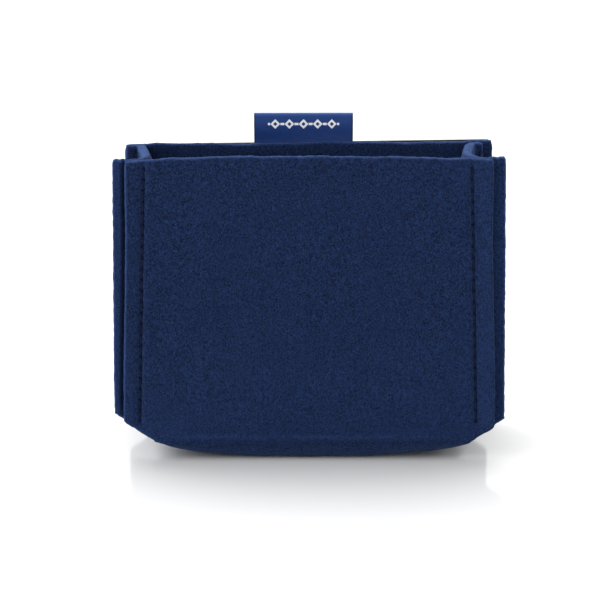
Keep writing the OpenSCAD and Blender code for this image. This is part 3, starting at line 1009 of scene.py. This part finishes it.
def label_threads(material):
    """The threads that hold the ribbon's ends to the back panel."""
    made = []
    first = label_needle_lo[0] + THREAD_D / 2
    stitches = int(round((label_needle_hi[0] - THREAD_D / 2 - first) / STITCH))
    z = (label_needle_lo[2] + label_needle_hi[2]) / 2
    for kind, y, way, sink, dip in (
        ("needle", BACK_Y - FELT, 1, 0.42, 1.2),
        ("bobbin", ends_hi[1] + 0.02, -1, 0.32, 0.4),
    ):
        node = f"label_{kind}_thread"
        thread = thread_mesh(node + "_yarn", (first, y, z), (first + STITCH * stitches, y, z),
                             (0, way, 0), stitches, material, sink, dip)
        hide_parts(node)
        made.append(thread)
    return made


# ------------------------------------ the label


def label_path():
    """Side view of the ribbon: up in front, over the top in a soft fold and down behind."""
    foot, top = ends_lo[2], loop_hi[2]
    gap_at_foot = (ends_hi[1] - ends_lo[1]) / 4
    turn_r = LABEL_TURN_R
    up = spaced((foot, top - turn_r - PLY / 2, 0.45))
    swell = smooth_step(up, RIM_Z - 0.5, top - 3.5)
    half_gap = gap_at_foot + (turn_r - gap_at_foot) * swell
    front = np.column_stack([LABEL_Y - half_gap, up])
    angles = np.linspace(0, math.pi, 11)[1:-1]
    over = np.column_stack([LABEL_Y - turn_r * np.cos(angles),
                            top - turn_r - PLY / 2 + turn_r * np.sin(angles)])
    behind = np.column_stack([LABEL_Y + half_gap, up])[::-1]
    return np.concatenate([front, over, behind])


def lengths_along(path):
    """Length of the ribbon from its start to each point of its path."""
    return np.append(0, np.cumsum(np.linalg.norm(np.diff(path, axis=0), axis=1)))


def build_label(material, path):
    """One ribbon for the label's loop and its two ends. It bends where it leaves the rim."""
    half = LABEL_HALF - 0.15
    across = spaced((-half, half, 0.5))
    along = lengths_along(path)
    grid = np.zeros((len(path), len(across), 3))
    grid[..., 0] = LABEL_X + across[None, :]
    grid[..., 1] = path[:, None, 0]
    grid[..., 2] = path[:, None, 1]
    above = smooth_step(grid[..., 2], RIM_Z, RIM_Z + 4)
    grid[..., 1] += 0.18 * above * np.sin(across / 9.0 + 0.5)[None, :]
    uv = np.zeros(grid.shape[:2] + (2,))
    uv[..., 0] = across[None, :]
    uv[..., 1] = along[:, None]
    inside = np.ones((grid.shape[0] - 1, grid.shape[1] - 1), bool)
    flat = np.zeros(grid.shape[:2])
    label = thick_sheet("ribbon_label", grid, inside, PLY, (flat, flat), material, radius=0.15,
                        fuzz=0.02, rough=0.01, seed=40.0, uv=uv)
    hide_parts("label_loop", "label_ends")
    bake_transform(label)


# ------------------------------------ the magnetic back


def build_magnet(material):
    """The flexible magnetic sheet, glued on very slightly askew."""
    heights = spaced((magnet_hi[2] - MAGNET_EDGE_R, magnet_lo[2] + MAGNET_EDGE_R, 1.5))
    u = np.linspace(-1, 1, 91)
    middle = (magnet_lo[1] + magnet_hi[1]) / 2
    askew_by, glue_gap = 0.9, 0.04
    rows = []
    for z in heights:
        on_cut = WALL_BACK + (z - FOLD_R) / CORNER_SLOPE - MAGNET_INSET
        half = float(smooth_min(magnet_hi[0], on_cut, 0.5)) - MAGNET_EDGE_R
        x = u * half
        askew = askew_by * x / HALF_W * (z - magnet_lo[2]) / (magnet_hi[2] - magnet_lo[2])
        rows.append(np.stack([x, np.full_like(x, middle), z + askew], 1))
    mid = np.array(rows)
    inside = np.ones((mid.shape[0] - 1, mid.shape[1] - 1), bool)
    flat = np.zeros(mid.shape[:2])
    thickness = magnet_hi[1] - magnet_lo[1] - glue_gap
    sheet = thick_sheet("magnetic_back", mid, inside, thickness, (flat, flat), material,
                        radius=MAGNET_EDGE_R, fuzz=0.02, rough=0.015, seed=60.0)
    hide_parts("magnetic_sheet")
    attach(sheet, "bin")


# ------------------------------------ stage


def build_stage():
    """A plain pale floor, in metres, that runs out of view and mirrors the bin faintly."""
    mesh = bpy.data.meshes.new("floor")
    size, drop = 8.0, 0.0002
    corners = [(-size, -size, 0), (size, -size, 0), (size, size, 0), (-size, size, 0)]
    mesh.from_pydata(corners, [], [(0, 1, 2, 3)])
    n = Nodes("floor")
    n.set(Base_Color=FLOOR_GREY, Roughness=0.1, Specular_IOR_Level=0.35)
    mesh.materials.append(n.material)
    floor = bpy.data.objects.new("floor", mesh)
    bpy.context.scene.collection.objects.link(floor)
    floor.location.z = -drop


def soft_light(name, towards, angle, power):
    """A distant softbox: towards points from the bin to the light."""
    light = bpy.data.lights.new(name, "SUN")
    light.angle = math.radians(angle)
    light.energy = power
    obj = bpy.data.objects.new(name, light)
    obj.rotation_euler = Vector(towards).to_track_quat("Z", "Y").to_euler()
    bpy.context.scene.collection.objects.link(obj)


def build_lights():
    """Soft studio light from the left and from above, in a white room."""
    soft_light("key", (-0.8, -0.65, 0.35), 50, 1.9)
    soft_light("top", (-0.15, 0.5, 1.0), 60, 4.0)
    world = bpy.data.worlds.new("room")
    world.use_nodes = True
    background = world.node_tree.nodes["Background"]
    background.inputs["Color"].default_value = (1, 1, 1, 1)
    background.inputs["Strength"].default_value = 1.05
    bpy.context.scene.world = world
    bpy.context.scene.view_settings.view_transform = "Standard"


def build_camera():
    """The camera stands in front of the bin, a little above its rim, and looks down at it."""
    place, looks_down = (-0.00305, -0.6561, 0.1712), 10.54
    camera = bpy.data.cameras.new("camera")
    camera.lens = 115.8
    camera.sensor_width = 36.0
    obj = bpy.data.objects.new("camera", camera)
    obj.location = place
    obj.rotation_euler = (math.radians(90 - looks_down), 0, 0)
    bpy.context.scene.collection.objects.link(obj)
    bpy.context.scene.camera = obj


# ------------------------------------ assembly


def main():
    """Builds the stage and every piece of the bin."""
    build_camera()
    build_stage()
    build_lights()
    felt, thread = felt_material(), thread_material()
    pieces = [build_wrap(felt), build_gusset(0, felt), build_gusset(1, felt)]
    threads = upright_threads(thread) + base_threads(thread) + label_threads(thread)
    for piece in pieces + threads:
        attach(piece, "bin")
    path = label_path()
    front_top = lengths_along(path)[int(np.argmax(path[:, 1]))]
    build_label(ribbon_material(front_top, front_top - MOTIF_DROP), path)
    build_magnet(magnet_material())
    for material_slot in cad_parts["adhesive_film"].material_slots:
        material_slot.material = film_material()


main()
